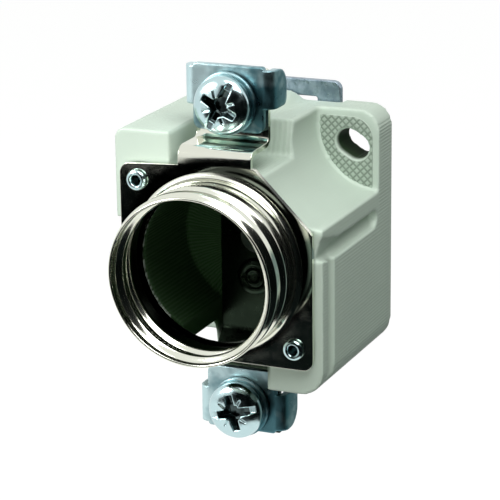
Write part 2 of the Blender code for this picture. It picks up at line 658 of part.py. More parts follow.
def make_screw(name, plate_front, screw_z, slot_angle, look):
    """A pan-head screw with a driving slot, its shank through washer, clamp and plate."""
    _, _, seat = terminal_faces(plate_front)
    top = seat - SCREW_HEAD_HEIGHT
    crown = []
    steps = 5
    for step in range(steps + 1):
        angle = pi / 2 * step / steps
        crown.append((SCREW_HEAD_RADIUS * (0.66 + 0.34 * sin(angle)),
                      top + 0.6 * SCREW_HEAD_HEIGHT * (1 - cos(angle))))
    end = seat + SCREW_LENGTH
    tip = SCREW_RADIUS * 0.3
    profile = [(0.0, top), *crown, (SCREW_HEAD_RADIUS, seat), (SCREW_RADIUS, seat),
               (SCREW_RADIUS, end - tip), (SCREW_RADIUS - tip, end), (0.0, end)]
    screw = turned(name, profile, (0, screw_z), PARTS, closed=False)
    width = DRIVE_SLOT_WIDTH / 2
    reach = SCREW_HEAD_RADIUS + OVER
    groove = box(name + "_slot", (-reach, top - OVER, -width), (reach, top + DRIVE_SLOT_DEPTH, width), CUTTERS)
    place = Matrix.Translation((0, 0, screw_z * MM)) @ Matrix.Rotation(radians(-slot_angle), 4, "Y")
    groove.data.transform(place)
    cut(screw, groove)
    return finish(screw, look, (0, seat, screw_z))


def make_rail_plate(look):
    """The fixed plate in the rear recess, its lower end folded into the rail's lower hook."""
    wide = LATCH_HALF_WIDTH
    half = RAIL_SHEET / 2
    middle = LATCH_FRONT + half
    foot = -RAIL_HEIGHT / 2 - GAP - half
    path = [(middle, RAIL_PLATE_TOP), (middle, foot), (HOOK_INNER + half, foot),
            (HOOK_INNER + half, foot + half + GAP + HOOK_OVERLAP)]
    plate = prism("rail_plate", bent_strip(path, RAIL_SHEET, 0.4), "X", -wide, wide, PARTS)
    for name, x, z in rear_rivet_places():
        if name.startswith("plate"):
            cut(plate, cylinder("bore_" + name, REAR_RIVET_SHANK + GAP, LATCH_FRONT - OVER,
                                LATCH_BACK + OVER, (x, z), CUTTERS))
    return finish(plate, look)


def make_rail_latch(look):
    """The sliding latch: a loop for a screwdriver on top, guide slots, and a hook over the rail."""
    wide = LATCH_HALF_WIDTH
    corners = [(-wide, LATCH_BOTTOM), (wide, LATCH_BOTTOM), (wide, LATCH_TOP), (-wide, LATCH_TOP)]
    outline = rounded_outline(corners, [1.0, 1.0, LATCH_CORNER, LATCH_CORNER])
    half = RAIL_SHEET / 2
    hook_root = RAIL_HEIGHT / 2 + GAP + half
    inner = wide - LATCH_LEG
    window = rounded_outline([(-inner, hook_root + half), (inner, hook_root + half),
                              (inner, LATCH_TOP - LATCH_BAND), (-inner, LATCH_TOP - LATCH_BAND)],
                             [0.0, 0.0, 0.4, 0.4], 4)
    spring_half = SPRING_RADIUS + SPRING_WIRE + GAP
    spring_top = SPRING_BOTTOM + SPRING_LENGTH + GAP + LATCH_TRAVEL
    spring_window = [(-spring_half, SPRING_BOTTOM - GAP), (spring_half, SPRING_BOTTOM - GAP),
                     (spring_half, spring_top), (-spring_half, spring_top)]
    slot_width = 2 * (REAR_RIVET_SHANK + GAP)
    slot_middle = GUIDE_RIVET_Z - LATCH_TRAVEL / 2
    slots = [obround(sign * REAR_RIVET_X, slot_middle, slot_width + LATCH_TRAVEL, slot_width, 90, 8)
             for sign in (1, -1)]
    latch = prism("rail_latch", outline, "Y", LATCH_FRONT, LATCH_BACK, PARTS,
                  holes=[window, spring_window, *slots])
    path = [(LATCH_BACK - half, hook_root), (HOOK_INNER + half, hook_root),
            (HOOK_INNER + half, hook_root - half - GAP - HOOK_OVERLAP)]
    join(latch, prism("latch_hook", bent_strip(path, RAIL_SHEET, 0.4), "X", -HOOK_HALF_WIDTH,
                      HOOK_HALF_WIDTH, CUTTERS))
    return finish(latch, look, (0, LATCH_FRONT, 0))


def make_rear_rivet(name, centre, look):
    head_front = LATCH_BACK + GAP
    profile = [(0.0, head_front + REAR_RIVET_HEAD_HEIGHT), (REAR_RIVET_HEAD * 0.7, head_front + REAR_RIVET_HEAD_HEIGHT),
               (REAR_RIVET_HEAD, head_front + REAR_RIVET_HEAD_HEIGHT / 2), (REAR_RIVET_HEAD, head_front),
               (REAR_RIVET_SHANK, head_front), (REAR_RIVET_SHANK, RECESS_FLOOR - REAR_RIVET_LENGTH),
               (0.0, RECESS_FLOOR - REAR_RIVET_LENGTH)]
    return finish(turned(name, profile, centre, PARTS, sides=24, closed=False), look)


def make_latch_spring(look):
    """A compression spring along Z between the ceramic pocket's top and the latch's window."""
    curve = bpy.data.curves.new("latch_spring", "CURVE")
    curve.dimensions = "3D"
    curve.bevel_depth = SPRING_WIRE * MM
    curve.bevel_resolution = 2
    curve.use_fill_caps = True
    spline = curve.splines.new("POLY")
    per_turn = 12
    count = SPRING_TURNS * per_turn
    spline.points.add(count)
    length = SPRING_LENGTH - 2 * SPRING_WIRE
    for index in range(count + 1):
        angle = 2 * pi * index / per_turn
        rise = SPRING_BOTTOM + SPRING_WIRE + length * index / count
        spline.points[index].co = (SPRING_RADIUS * cos(angle) * MM,
                                   (SPRING_CENTRE + SPRING_RADIUS * sin(angle)) * MM, rise * MM, 1.0)
    made = bpy.data.objects.new("latch_spring", curve)
    made.parent = BASE
    PARTS.objects.link(made)
    curve.materials.append(look)
    return made


SPRING_CENTRE = BODY_DEPTH - GAP - SPRING_RADIUS - SPRING_WIRE

for old in list(bpy.data.objects):
    bpy.data.objects.remove(old, do_unlink=True)
PARTS = collection("fuse_base")
CUTTERS = collection("cutters")
BASE = bpy.data.objects.new("front_face_plane", None)
BASE.location = (0.0, -BODY_DEPTH * MM, 0.0)
PARTS.objects.link(BASE)


def main():
    ceramic = material("pressed_ceramic", (0.66, 0.71, 0.66), 0.0, 0.55)
    nickel = material("nickel_plated_brass", (0.72, 0.70, 0.64), 1.0, 0.12)
    zinc = material("zinc_plated_steel", (0.62, 0.68, 0.72), 1.0, 0.25)
    galvanised = material("galvanised_steel", (0.50, 0.54, 0.56), 1.0, 0.42)
    make_ceramic_body(ceramic)
    make_threaded_shell(nickel)
    make_contact_strip(nickel)
    web_end = RIVET_RECESS_DEPTH + RIVET_WEB
    for side, sign in (("upper", 1), ("lower", -1)):
        make_flange_rivet("flange_rivet_" + side, sign, zinc)
        make_rivet_washer("rivet_washer_" + side, (-sign * RIVET_X, sign * RIVET_Z), web_end, zinc)
    make_contact_rivet(nickel)
    make_rivet_washer("contact_rivet_washer", (0, CONTACT_RIVET_Z), CAVITY_DEPTH + CONTACT_FLOOR_WEB, zinc)
    for side, plate, height, outward, angle in (
            ("top", TOP_PLATE_FRONT, TOP_SCREW_Z, 1, 62.0),
            ("bottom", BOTTOM_PLATE_FRONT, BOTTOM_SCREW_Z, -1, 14.7)):
        make_clamp(side + "_clamp", plate, height, outward, zinc)
        make_washer(side + "_washer", plate, height, zinc)
        make_screw(side + "_screw", plate, height, angle, zinc)
    make_rail_plate(galvanised)
    make_rail_latch(galvanised)
    make_latch_spring(zinc)
    for name, x, z in rear_rivet_places():
        make_rear_rivet(name, (x, z), zinc)


main()
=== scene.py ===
"""Finishes and fine surfaces for the fuse base: thread, screw drives, hatching and metal plate."""

import json

import bmesh
import bpy
import numpy as np
from mathutils import Matrix, Vector

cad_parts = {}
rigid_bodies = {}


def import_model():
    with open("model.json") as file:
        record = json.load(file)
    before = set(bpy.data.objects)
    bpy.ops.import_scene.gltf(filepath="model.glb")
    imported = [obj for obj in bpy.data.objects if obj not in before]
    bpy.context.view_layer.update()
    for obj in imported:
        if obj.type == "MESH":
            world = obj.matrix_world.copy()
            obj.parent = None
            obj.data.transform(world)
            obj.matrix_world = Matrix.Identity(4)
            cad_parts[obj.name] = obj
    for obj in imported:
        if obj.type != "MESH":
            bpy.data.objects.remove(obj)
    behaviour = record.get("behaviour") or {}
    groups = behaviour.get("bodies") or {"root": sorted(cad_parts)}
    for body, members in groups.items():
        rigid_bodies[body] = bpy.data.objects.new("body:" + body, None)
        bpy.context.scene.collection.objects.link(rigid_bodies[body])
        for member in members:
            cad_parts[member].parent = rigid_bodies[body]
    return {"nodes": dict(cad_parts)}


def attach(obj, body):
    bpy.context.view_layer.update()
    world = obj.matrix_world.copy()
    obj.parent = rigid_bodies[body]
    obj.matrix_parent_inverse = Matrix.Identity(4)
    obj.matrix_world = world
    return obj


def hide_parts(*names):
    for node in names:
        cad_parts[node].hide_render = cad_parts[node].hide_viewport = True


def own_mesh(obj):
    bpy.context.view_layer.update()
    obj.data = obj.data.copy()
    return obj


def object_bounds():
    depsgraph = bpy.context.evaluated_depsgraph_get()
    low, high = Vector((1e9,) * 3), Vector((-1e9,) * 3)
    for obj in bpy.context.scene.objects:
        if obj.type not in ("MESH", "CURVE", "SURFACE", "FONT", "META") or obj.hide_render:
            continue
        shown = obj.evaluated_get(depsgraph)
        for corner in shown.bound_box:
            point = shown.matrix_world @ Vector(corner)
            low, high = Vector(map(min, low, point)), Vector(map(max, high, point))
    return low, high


bl_info = {
    "name": "Fuse base finish",
    "version": (1, 0, 0),
    "blender": (4, 5, 0),
    "location": "3D View > Sidebar > Fuse base",
    "description": "Dresses the fuse base with its thread, screws, ceramic and plated metal",
    "category": "Object",
}

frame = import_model()
CAD_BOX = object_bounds()
MM = 0.001

# Depths along Y, counted from the ceramic's front face
REAR = 31.0 * MM
FLANGE_FRONT = -1.1 * MM
CHAMBER_FLOOR = 17.0 * MM
PAD_FACE = 24.8 * MM
BACK_PLATE = 24.9 * MM

# The round recess behind the upper flange rivet: its middle as (x, z), and how the scene moves it
NEAR = 0.05 * MM
RECESS_CENTRE = np.array([-12.3, 13.3]) * MM
RECESS_RADIUS = 3.0 * MM
RECESS_FLOOR = 0.9 * MM
RECESS_SHIFT = np.array([-0.8, 0, -1.0]) * MM

# The side slot on the right, and how far out from the middle the side faces begin
SIDE_SLOT_FLOOR = 15.3 * MM
SIDE_SLOT_BOTTOM = 0.5 * MM
SIDE_SLOT_TOP = 6.1 * MM
SIDE_SLOT_REAR = 24.1 * MM
SIDE_FACE = 16.9 * MM

# How draw_lines finds the faces beside the cut corners, the channels' ramps, the cavity and the lower channel
CUT_SIDE = 14.0 * MM
CUT_RISE = 3.9 * MM
RAMP_HALF_WIDTH = 14.5 * MM
RAMP_START = 13.5 * MM
RAMP_FRONT = 11.0 * MM
RAMP_REAR = 23.0 * MM
RAMP_SPREAD = 0.62
CAVITY_RADIUS = 13.2 * MM
CAVITY_LINES = 12.0 * MM
CHANNEL_HALF_WIDTH = 8.6 * MM
CHANNEL_START = 9.0 * MM

# How deep the painted shade is in the cavity, which grows a little, at the channel's start and inside the
# slots
CAVITY_SHADE = 0.98
CAVITY_GROWTH = 0.01
CHANNEL_SHADE = 0.975
SLOT_SHADE = 0.97

# The mounting slot in the upper right corner, with its middle as (x, z)
SLOT_MIDDLE = (13.1 * MM, 14.5 * MM)
SLOT_LEAN = np.radians(-30)
SLOT_HALF_STRAIGHT = 0.85 * MM
SLOT_HALF_WIDTH = 2.1 * MM
SLOT_LIP = 0.15 * MM

# The hatched pad around that slot
PAD_START = 6.5 * MM
PAD_RIGHT = 17.7 * MM
PAD_TOP = 20.2 * MM
PAD_CORNER = 3.6 * MM
PAD_ARC = 10.8 * MM
PAD_ARC_MIDDLE = (17.7 * MM, 17.8 * MM)
PAD_SKIRT = 0.1 * MM

# The thread's place at the rim as a share of a turn, and the tick marks of the screws' drives
THREAD_START = 0.75
TICK_DEPTH = 0.22 * MM

# Each terminal screw: side, depth of its seat, height, and turn of its slot in degrees
SCREWS = (("top", 3.4 * MM, 24.8 * MM, 62.0), ("bottom", 7.1 * MM, -27.0 * MM, 14.7))

# Half outlines of the rivets as (radius, depth), in millimetres
RINGED_RIVET = ((0.0, 14.05), (0.7, 14.05), (1.0, 13.75), (1.3, 13.7), (1.5, 14.0), (1.75, 14.08),
                (2.0, 13.85), (2.35, 13.8), (2.95, 14.0), (2.95, 14.4), (1.3, 14.4), (1.3, 22.3),
                (1.65, 22.3), (1.65, 22.9), (0.0, 22.9))
HOLLOW_RIVET = ((0.75, -1.5), (0.95, -1.98), (1.35, -1.98), (1.65, -1.75), (1.65, -1.4), (1.3, -1.4),
                (1.3, 10.4), (1.65, 10.4), (1.65, 11.0), (0.75, 11.0))

# How much of an outline's side a rounded corner may take
MOST_OF_A_SIDE = 0.45

# Angles between faces: joined below the first, shown sharp above the second
FLAT_WITHIN = np.radians(0.6)
SHARP_FROM = np.radians(32)

# The ceramic's pressing lines, colours and gloss, and the dark green of its painted shade
LINE_PITCH = 0.56 * MM
LINE_SWAY = 0.9
FAINT_LINES = 0.08
PLAIN_SHARE = 0.2
LINES_IN_SHADE = -0.035
MOTTLE_SHARE = 0.35
FULL_GLOSS = 0.5
PAINTED_SHADE_CERAMIC = (0.009, 0.040, 0.005, 1)

# The metal's colour in painted shade, and the painted shade ring on the flange around the shell
PAINTED_SHADE_METAL = (0.010, 0.016, 0.014, 1)
PAINTED_RING_DARKEST = 0.94
RING_RISE = 0.8 * MM

# What metal_material is given for each finish; plate names one of the scene's colours
METALS = {
    # The flange's ring radii paint shade on it around the shell
    "bright_nickel": dict(plate="nickel", roughness=0.07, edge=0.15 * MM, grain_scale=700, strength=0.06,
                          spread=0.03, ripple=0.06, painted_ring_radii=(15.5 * MM, 16.7 * MM)),
    "rolled_nickel": dict(plate="nickel", roughness=0.14, edge=0.0, grain_scale=300, strength=0.0,
                          spread=0.01, ripple=0.02),
    # The contact's near-black colour is painted shade: the strip and its rivet sit deep in the cavity
    "dull_contact": dict(base=(0.03, 0.045, 0.03), roughness=0.3, edge=0.15 * MM, grain_scale=700,
                         strength=0.1, spread=0.05, ripple=0.05),
    "zinc_plate": dict(plate="zinc", roughness=0.17, edge=0.25 * MM, grain_scale=900, strength=0.3,
                       spread=0.08, ripple=0.16),
    # The zinc sheet's tint patches grow darker towards +X: a painted reflection
    "zinc_sheet": dict(plate="zinc", roughness=0.34, edge=0.40 * MM, grain_scale=700, strength=0.2,
                       spread=0.08, ripple=0.45, stain_and_reflection=((0.10, 0.24, 0.28), (170, 170, 170), 14)),
    "galvanised_sheet": dict(plate="galvanised", roughness=0.36, edge=0.30 * MM, grain_scale=1100,
                             strength=0.9, spread=0.16, ripple=0.15,
                             stain_and_reflection=((0.19, 0.26, 0.31), (900, 900, 500), 0)),
}

# The camera: angles are azimuth, elevation and roll in degrees, target and distance are in millimetres
SENSOR_WIDTH = 36.0
FOCAL_PIXELS = 2286.1
PICTURE_PIXELS = 500
CAMERA_ANGLES = (23.686, 16.772, -0.700)
CAMERA_TARGET = (1.080, 10.0, -0.691)
CAMERA_DISTANCE = 368.892

# Each lamp: name, place and width in metres, power in watts, and whether metal mirrors it
LAMPS = (("overhead_lamp", (0.085, -0.12, 0.23), 0.20, 0.59, True),
         ("left_lamp", (-0.17, -0.19, 0.11), 0.10, 0.42, True),
         ("front_lamp", (0.05, -0.28, -0.02), 0.12, 0.15, False))
LAMP_TARGET = (0, -0.02, 0)

# The rest of the stage, in metres
WHITE = (1, 1, 1, 1)
SOFT_COLOUR = (0.84, 1.0, 0.84, 1)
SOFT_STRENGTH = 0.15
FLOOR_REACH = 3.0
FLOOR_GAP = 0.03
FLOOR_GLOW = 0.97
SCREEN_MIDDLE = -0.035
SCREEN_RADIUS = 0.15
SHEET_HEIGHT = -0.0605


def size(name, description, millimetres):
    return bpy.props.FloatProperty(name=name, description=description, default=millimetres * MM,
                                   unit="LENGTH", precision=5)


def colour(name, description, value):
    return bpy.props.FloatVectorProperty(name=name, description=description, subtype="COLOR",
                                         default=value, min=0, max=1)


class FuseShellSizes(bpy.types.PropertyGroup):
    """Sizes of the threaded shell."""

    crest_radius: size("Crest radius", "Outer radius on a crest of the thread", 13.9)
    thread_depth: size("Thread depth", "From crest to root", 0.95)
    pitch: size("Pitch", "Advance of the thread in one turn", 3.63)
    wall: size("Wall", "Thickness of the drawn shell", 0.5)
    length: size("Length", "From the flange to the rim", 10.1)
    lip: size("Lip", "Band at the rim where the thread runs out", 0.6)
    root: size("Root", "Radius of the bend from the shell into the flange", 0.9)


class FuseScrewSizes(bpy.types.PropertyGroup):
    """Sizes of the terminal screws."""

    head_radius: size("Head radius", "Widest radius of the pan head", 4.7)
    head_height: size("Head height", "From the seat to the top", 2.9)
    slot_width: size("Slot width", "Width of the driving slot", 1.15)
    slot_depth: size("Slot depth", "Depth of the driving slot", 0.8)
    cross_reach: size("Cross reach", "Half the width across the cross recess", 3.0)
    cross_depth: size("Cross depth", "Depth of the cross recess", 2.1)
    shank_radius: size("Shank radius", "Outer radius of the thread", 2.5)
    shank_length: size("Shank length", "From the seat to the tip", 12.0)
    pitch: size("Pitch", "Advance of the screw in one turn", 0.8)


class FuseCeramicSizes(bpy.types.PropertyGroup):
    """Sizes of the ceramic body's fine forms."""

    skin: size("Skin", "Fineness of the pressed skin, which also sets how far its edges are rounded", 0.36)
    hatch_pitch: size("Hatch pitch", "Distance between the hatch's grooves", 0.89)
    hatch_height: size("Hatch height", "Height of the hatched diamonds", 0.07)
    hatch_border: size("Hatch border", "Plain margin of the hatched pads", 1.1)


class FuseFinishes(bpy.types.PropertyGroup):
    """Colours of the fuse base, as linear values."""

    ceramic: colour("Ceramic", "Pressed porcelain", (0.635, 0.745, 0.645))
    nickel: colour("Nickel", "Nickel plate on brass", (0.75, 0.77, 0.67))
    zinc: colour("Zinc", "Zinc plate on steel", (0.52, 0.69, 0.71))
    galvanised: colour("Galvanised", "Galvanised sheet", (0.30, 0.38, 0.44))


def wave(value, low, high):
    """0 below low, 1 above high, and an S curve between."""
    share = np.clip((value - low) / (high - low), 0.0, 1.0)
    return share * share * (3 - 2 * share)


def place(x, y, z):
    """Points counted from the ceramic's front face, in metres, moved into the part's frame."""
    x, y, z = np.broadcast_arrays(x, y, z)
    return np.stack([x, y - REAR, z], axis=-1)


def grid_quads(rows, columns, close_rows=False, close_columns=False, first=0):
    """The four-sided faces of a grid of points, row after row, counted from a first point."""
    index = np.arange(rows * columns).reshape(rows, columns)
    if close_rows:
        index = np.vstack([index, index[:1]])
    if close_columns:
        index = np.hstack([index, index[:, :1]])
    quads = np.stack([index[:-1, :-1], index[1:, :-1], index[1:, 1:], index[:-1, 1:]], axis=-1)
    return quads.reshape(-1, 4) + first


def grids_object(name, grids, shade=None):
    """One smooth object from several grids, each (points, close rows, close columns), with an optional shade
    from 0 to 1 for each point."""
    points, quads, first = [], [], 0
    for grid, close_rows, close_columns in grids:
        rows, columns = grid.shape[:2]
        quads.append(grid_quads(rows, columns, close_rows, close_columns, first))
        points.append(grid.reshape(-1, 3))
        first += rows * columns
    return mesh_object(name, np.concatenate(points), np.concatenate(quads), shade)


def mesh_object(name, points, faces, shade=None, merge=2e-6):
    """A smooth object whose doubles are merged and whose closed shells point outwards."""
    mesh = bpy.data.meshes.new(name)
    corners = faces.shape[1]
    mesh.vertices.add(len(points))
    mesh.vertices.foreach_set("co", points.astype(np.float32).ravel())
    mesh.loops.add(faces.size)
    mesh.loops.foreach_set("vertex_index", faces.astype(np.int32).ravel())
    mesh.polygons.add(len(faces))
    mesh.polygons.foreach_set("loop_start", np.arange(0, faces.size, corners, dtype=np.int32))
    mesh.update(calc_edges=True)
    if shade is not None:
        mesh.attributes.new("shade", "FLOAT", "POINT").data.foreach_set("value", shade.astype(np.float32))
    shape = bmesh.new()
    shape.from_mesh(mesh)
    if merge:
        bmesh.ops.remove_doubles(shape, verts=shape.verts, dist=merge)
    bmesh.ops.recalc_face_normals(shape, faces=shape.faces)
    shape.to_mesh(mesh)
    shape.free()
    mesh.validate()
    mesh.shade_smooth()
    made = bpy.data.objects.new(name, mesh)
    bpy.context.scene.collection.objects.link(made)
    return made


def turned_grid(profile, centre, around):
    """Rows of a closed (radius, y) profile turned about an axis along Y: x = cx + r cos t and
    z = cz + r sin t."""
    turn = np.linspace(0, 2 * np.pi, around, endpoint=False)[:, None]
    radius, depth = np.asarray(profile).T[:, None, :]
    return place(centre[0] + radius * np.cos(turn), depth, centre[1] + radius * np.sin(turn)), True, True


def rounded_profile(corners, rounding, steps=5):
    """A closed outline whose corners are cut by quadratic curves that start a rounding's length away, or a
    shorter way along a short side."""
    corners = np.asarray(corners, float)
    back = np.roll(corners, 1, axis=0) - corners
    ahead = np.roll(corners, -1, axis=0) - corners
    back_length = np.linalg.norm(back, axis=1, keepdims=True)
    ahead_length = np.linalg.norm(ahead, axis=1, keepdims=True)
    reach = np.minimum(rounding, MOST_OF_A_SIDE * np.minimum(back_length, ahead_length))
    start = corners + back / back_length * reach
    end = corners + ahead / ahead_length * reach
    share = np.linspace(0, 1, steps)[None, :, None]
    curve = (1 - share) ** 2 * start[:, None] + 2 * share * (1 - share) * corners[:, None]
    curve = curve + share ** 2 * end[:, None]
    return curve.reshape(-1, 2)


def start_material(name, base, metallic, roughness):
    made = bpy.data.materials.new(name)
    made.use_nodes = True
    tree = made.node_tree
    shader = tree.nodes["Principled BSDF"]
    shader.inputs["Base Color"].default_value = (*base, 1.0)
    shader.inputs["Metallic"].default_value = metallic
    shader.inputs["Roughness"].default_value = roughness
    made.diffuse_color = (*base, 1.0)
    return made, tree, shader


def node(tree, kind, links=(), **values):
    """A node with its values set and its inputs linked, as (input, source socket) pairs."""
    made = tree.nodes.new(kind)
    for key, value in values.items():
        if hasattr(made, key):
            setattr(made, key, value)
        else:
            made.inputs[key.replace("_", " ").title()].default_value = value
    for name, socket in links:
        tree.links.new(socket, made.inputs[name])
    return made


def object_points(tree, scale):
    """Object coordinates in metres, stretched."""
    source = node(tree, "ShaderNodeTexCoord")
    mapping = node(tree, "ShaderNodeMapping", [("Vector", source.outputs["Object"])])
    mapping.inputs["Scale"].default_value = scale
    return mapping.outputs["Vector"]


def stretched_noise(tree, scale, detail):
    """Noise from 0 to 1, with its scale per metre along each axis."""
    return node(tree, "ShaderNodeTexNoise", [("Vector", object_points(tree, scale))],
                Scale=1.0, Detail=detail, Roughness=0.55).outputs["Fac"]


def ramp(tree, source, low, high, first, last):
    """A two-colour ramp between two positions of a value."""
    made = node(tree, "ShaderNodeValToRGB", [("Fac", source)])
    for element, position, value in zip(made.color_ramp.elements, (low, high), (first, last)):
        element.position = position
        element.color = (*value, 1)
    return made.outputs["Color"]


def attribute(tree, name):
    """A value that the mesh stores for each point."""
    return node(tree, "ShaderNodeAttribute", attribute_name=name).outputs["Fac"]


def feed(tree, target, term):
    """Links an input to a socket, or sets it to a plain number or colour."""
    if isinstance(term, bpy.types.NodeSocket):
        tree.links.new(term, target)
    else:
        target.default_value = term


def arithmetic(tree, operation, *terms):
    """The result of a math node over sockets and plain numbers."""
    made = node(tree, "ShaderNodeMath", operation=operation)
    for target, term in zip(made.inputs, terms):
        feed(tree, target, term)
    return made.outputs[0]


def blend(tree, factor, first, second):
    """A blend of two colours by a factor from 0 to 1, each a socket or a plain value."""
    made = node(tree, "ShaderNodeMix", data_type="RGBA", blend_type="MIX")
    for index, term in zip((0, 6, 7), (factor, first, second)):
        feed(tree, made.inputs[index], term)
    return made.outputs[2]


def map_range(tree, source, before, after, curve="LINEAR"):
    """A value carried from one range into another."""
    made = node(tree, "ShaderNodeMapRange", [("Value", source)], interpolation_type=curve)
    for key, value in zip(("From Min", "From Max", "To Min", "To Max"), (*before, *after)):
        made.inputs[key].default_value = value
    return made.outputs["Result"]


def ceramic_material(base):
    """Pressed porcelain: fine steps that follow the die's travel, where the line_depth attribute asks for
    them, and a faint mottling and grain everywhere; the steps are painted a little darker, as painted shade.
    The shade attribute paints shade: it leads to a dark colour without gloss."""
    made, tree, shader = start_material("pressed_porcelain", base, 0.0, 0.5)
    shade_of = attribute(tree, "shade")
    uneven = stretched_noise(tree, (420, 25, 420), 2.0)
    count = arithmetic(tree, "MULTIPLY", attribute(tree, "line_place"), 1 / LINE_PITCH)
    swayed = arithmetic(tree, "MULTIPLY_ADD", uneven, LINE_SWAY, count)
    steps = arithmetic(tree, "MULTIPLY", arithmetic(tree, "PINGPONG", swayed, 0.5), 2.0)
    lines = arithmetic(tree, "MULTIPLY", steps, attribute(tree, "line_depth"))
    mottle = stretched_noise(tree, (160, 160, 160), 3.0)
    # The steps are painted up to a tenth darker: painted shade in their grooves
    lined_with_painted_shade = ramp(tree, lines, 0.0, 0.9, base, [c * 0.90 for c in base])
    mottled = ramp(tree, mottle, 0.3, 0.7, [c * 0.95 for c in base], [min(1.0, c * 1.03) for c in base])
    pressed = blend(tree, MOTTLE_SHARE, lined_with_painted_shade, mottled)
    # Painted shade from the shade attribute, a little lighter on the lines
    striped = arithmetic(tree, "MULTIPLY_ADD", lines, LINES_IN_SHADE, shade_of)
    tree.links.new(blend(tree, striped, pressed, PAINTED_SHADE_CERAMIC), shader.inputs["Base Color"])
    # Painted shade also takes the gloss away
    gloss = arithmetic(tree, "MULTIPLY_ADD", shade_of, -FULL_GLOSS, FULL_GLOSS)
    tree.links.new(gloss, shader.inputs["Specular IOR Level"])
    grain = stretched_noise(tree, (2600, 2600, 2600), 2.0)
    drawn = node(tree, "ShaderNodeBump", [("Height", lines)], Strength=0.42, Distance=0.13 * MM, invert=True)
    rough = node(tree, "ShaderNodeBump", [("Height", grain), ("Normal", drawn.outputs["Normal"])],
                 Strength=0.35, Distance=0.02 * MM)
    tree.links.new(rough.outputs["Normal"], shader.inputs["Normal"])
    return made


def painted_shade_ring(tree, inner, outer):
    """Painted shade on the sheet around the shell, over its mirror image of the shell: darkest within the
    inner radius, none beyond the outer.
    """
    flat = object_points(tree, (1, 0, 1))
    centred = node(tree, "ShaderNodeVectorMath", [(0, flat)], operation="SUBTRACT")
    centred.inputs[1].default_value = (0, 0, RING_RISE)
    reach = node(tree, "ShaderNodeVectorMath", [(0, centred.outputs[0])], operation="LENGTH")
    return map_range(tree, reach.outputs["Value"], (inner, outer), (PAINTED_RING_DARKEST, 0.0), "SMOOTHSTEP")


def stained_with_painted_reflection(tree, base, other, scale, lean):
    """The base colour with patches of another, on noise of the given scale: a tint of the plate. The patches
    also grow towards +X by the given amount per metre, a painted reflection that darkens that side."""
    patches = stretched_noise(tree, scale, 3.0)
    across = node(tree, "ShaderNodeSeparateXYZ", [("Vector", object_points(tree, (lean, lean, lean)))])
    # The growth towards +X is a painted reflection
    patches_and_reflection = arithmetic(tree, "ADD", patches, across.outputs["X"])
    return ramp(tree, patches_and_reflection, 0.42, 0.62, base, other)


def metal_material(name, base, roughness, edge, grain_scale, strength, spread, ripple, stain_and_reflection=None,
                   painted_ring_radii=None):
    """Plated metal: grain in bump and roughness, a slow ripple of the sheet, and edges rounded to a radius.
    The shade attribute darkens it as painted shade. Tint patches, with a painted reflection, take the last
    arguments of the patch function. Two ring radii give a painted shade ring on the sheet around the shell,
    which takes the shade attribute's place."""
    made, tree, shader = start_material(name, base, 1.0, roughness)
    surface = stained_with_painted_reflection(tree, base, *stain_and_reflection) if stain_and_reflection else (*base, 1)
    # Painted shade: the ring around the shell on the flange, elsewhere the shade attribute
    painted_shade = painted_shade_ring(tree, *painted_ring_radii) if painted_ring_radii else attribute(tree, "shade")
    tree.links.new(blend(tree, painted_shade, surface, PAINTED_SHADE_METAL), shader.inputs["Base Color"])
    grain = stretched_noise(tree, (grain_scale,) * 3, 4.0)
    level = map_range(tree, grain, (0.3, 0.7), (max(0.02, roughness - spread), roughness + spread))
    tree.links.new(level, shader.inputs["Roughness"])
    soft = node(tree, "ShaderNodeBevel", Radius=edge, samples=6).outputs["Normal"]
    slow = stretched_noise(tree, (110, 110, 110), 1.0)
    rippled = node(tree, "ShaderNodeBump", [("Height", slow), ("Normal", soft)],
                   Strength=ripple, Distance=0.5 * MM)
    bump = node(tree, "ShaderNodeBump", [("Height", grain), ("Normal", rippled.outputs["Normal"])],
                Strength=strength, Distance=0.02 * MM)
    tree.links.new(bump.outputs["Normal"], shader.inputs["Normal"])
    return made


def finish_of(name):
    """The object's finishes, each made once from the scene's colours."""
    found = bpy.data.materials.get(name)
    if found:
        return found
    colours = bpy.context.scene.fuse_finishes
    if name == "pressed_porcelain":
        return ceramic_material(tuple(colours.ceramic))
    values = dict(METALS[name])
    if "plate" in values:
        values["base"] = tuple(getattr(colours, values.pop("plate")))
    return metal_material(name, **values)


def cad_triangles(source):
    """The points and triangles of a CAD node's mesh, with equal points counted once."""
    mesh = frame["nodes"][source].data
    corners = np.empty(len(mesh.vertices) * 3, np.float32)
    mesh.vertices.foreach_get("co", corners)
    triangles = np.empty(len(mesh.loops), np.int32)
    mesh.loops.foreach_get("vertex_index", triangles)
    rounded = np.round(corners.reshape(-1, 3).astype(np.float64), 7)
    whole, inverse = np.unique(rounded, axis=0, return_inverse=True)
    triangles = inverse.ravel()[triangles.reshape(-1, 3)]
    a, b, c = triangles.T
    return whole, triangles[(a != b) & (b != c) & (a != c)]


def merged_copy(name, source, keep=None):
    """A welded copy of a CAD node with flat faces joined. Keep chooses triangles by their corners."""
    whole, triangles = cad_triangles(source)
    if keep is not None:
        triangles = triangles[keep(whole[triangles])]
    mesh = bpy.data.meshes.new(name)
    mesh.from_pydata(whole.tolist(), [], triangles.tolist())
    mesh.validate()
    shape = bmesh.new()
    shape.from_mesh(mesh)
    loose = [vert for vert in shape.verts if not vert.link_faces]
    bmesh.ops.delete(shape, geom=loose, context="VERTS")
    bmesh.ops.dissolve_limit(shape, angle_limit=FLAT_WITHIN, verts=shape.verts, edges=shape.edges)
    shape.to_mesh(mesh)
    shape.free()
    mesh.shade_smooth()
    mesh.set_sharp_from_angle(angle=SHARP_FROM)
    made = bpy.data.objects.new(name, mesh)
    bpy.context.scene.collection.objects.link(made)
    return made


def put(piece, body, finish, slot, *nodes):
    """Gives a finished piece its material and its body, and hides the CAD nodes it stands for. Its slot is
    not used.
    """
    piece.data.materials.clear()
    piece.data.materials.append(finish_of(finish))
    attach(piece, body)
    if nodes:
        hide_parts(*nodes)


